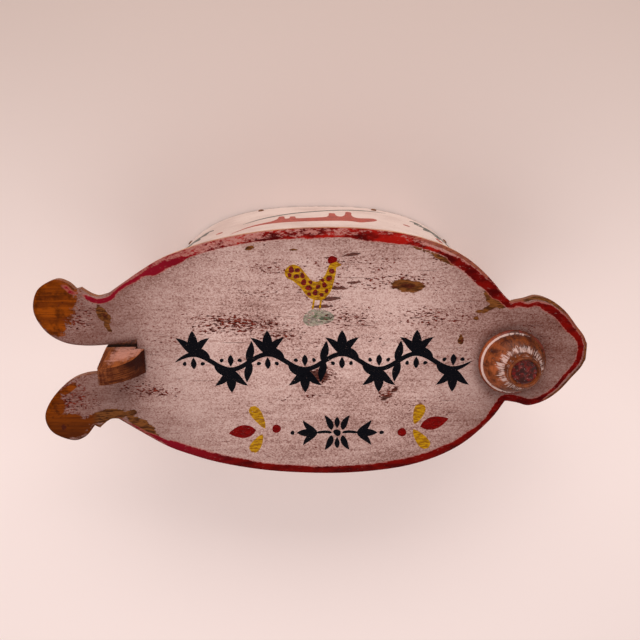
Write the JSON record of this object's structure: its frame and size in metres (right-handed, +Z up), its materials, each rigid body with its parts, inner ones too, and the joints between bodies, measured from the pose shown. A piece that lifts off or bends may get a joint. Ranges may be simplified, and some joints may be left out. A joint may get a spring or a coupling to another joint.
{
  "type": "bentwood tine box",
  "caption": "Oval bentwood box with a bottom board, an oval lid with a forked tail and a lobe, a springy hooked latch post and a turned pivot knob.",
  "frame": {"origin": "centre of the oval on the bottom board's underside, the face the box stands on", "axes": "+Z up through the lid, +X from the forked tail and latch towards the lobe and knob, +Y across the oval, away from the sewn lap"},
  "size_m": [0.3157, 0.1492, 0.1538],
  "materials": {
    "painted_lid": "worn dusty pink paint with a red border",
    "painted_band": "smooth off-white paint",
    "post_wood": "bare carved wood with brown patina",
    "bare_board": "bare planed wood",
    "knob_wood": "turned wood with worn paint",
    "peg_wood": "whittled wood",
    "stitch_root": "split root",
    "washer_leather": "thin worn leather"
  },
  "bodies": {
    "box": {"side_band": "painted_band", "bottom_board": "bare_board", "pivot_post": "post_wood", "knob": "knob_wood", "knob_lock_pin": "peg_wood", "latch_peg_1": "peg_wood", "latch_peg_2": "peg_wood", "pivot_peg_1": "peg_wood", "pivot_peg_2": "peg_wood", "bottom_peg_1": "peg_wood", "bottom_peg_2": "peg_wood", "bottom_peg_3": "peg_wood", "bottom_peg_4": "peg_wood", "bottom_peg_5": "peg_wood", "bottom_peg_6": "peg_wood", "bottom_peg_7": "peg_wood", "bottom_peg_8": "peg_wood", "lap_stitch_1": "stitch_root", "lap_stitch_2": "stitch_root", "lap_stitch_3": "stitch_root", "lap_stitch_4": "stitch_root", "lap_stitch_5": "stitch_root", "lap_stitch_6": "stitch_root", "lap_stitch_7": "stitch_root", "lap_stitch_8": "stitch_root", "lap_stitch_9": "stitch_root", "lap_stitch_10": "stitch_root"},
    "tilting_washer": {"tilt_washer": "washer_leather"},
    "lid": {"lid_board": "painted_lid"},
    "latch": {"latch_post": "post_wood"}
  },
  "joints": [
    {"name": "lid_lift", "type": "hinge", "parent": "box", "child": "tilting_washer", "pos_m": [0.104, 0, 0.1185], "axis": [0, 1, 0], "range_deg": [0, 10], "deforming": ["latch_post"]},
    {"name": "lid_swing", "type": "hinge", "parent": "tilting_washer", "child": "lid", "pos_m": [0.112, -0.002, 0.1185], "axis": [0, 0, 1], "range_deg": [-105, 105]},
    {"name": "latch_flex", "type": "hinge", "parent": "box", "child": "latch", "pos_m": [-0.1043, 0, 0.0016], "axis": [0, -1, 0], "range_deg": [0, 5], "stiffness_Nm_per_rad": 1.5}
  ],
  "couplings": [
    {"joint": "latch_flex", "follows": "lid_lift", "ratio": 0.4}
  ]
}
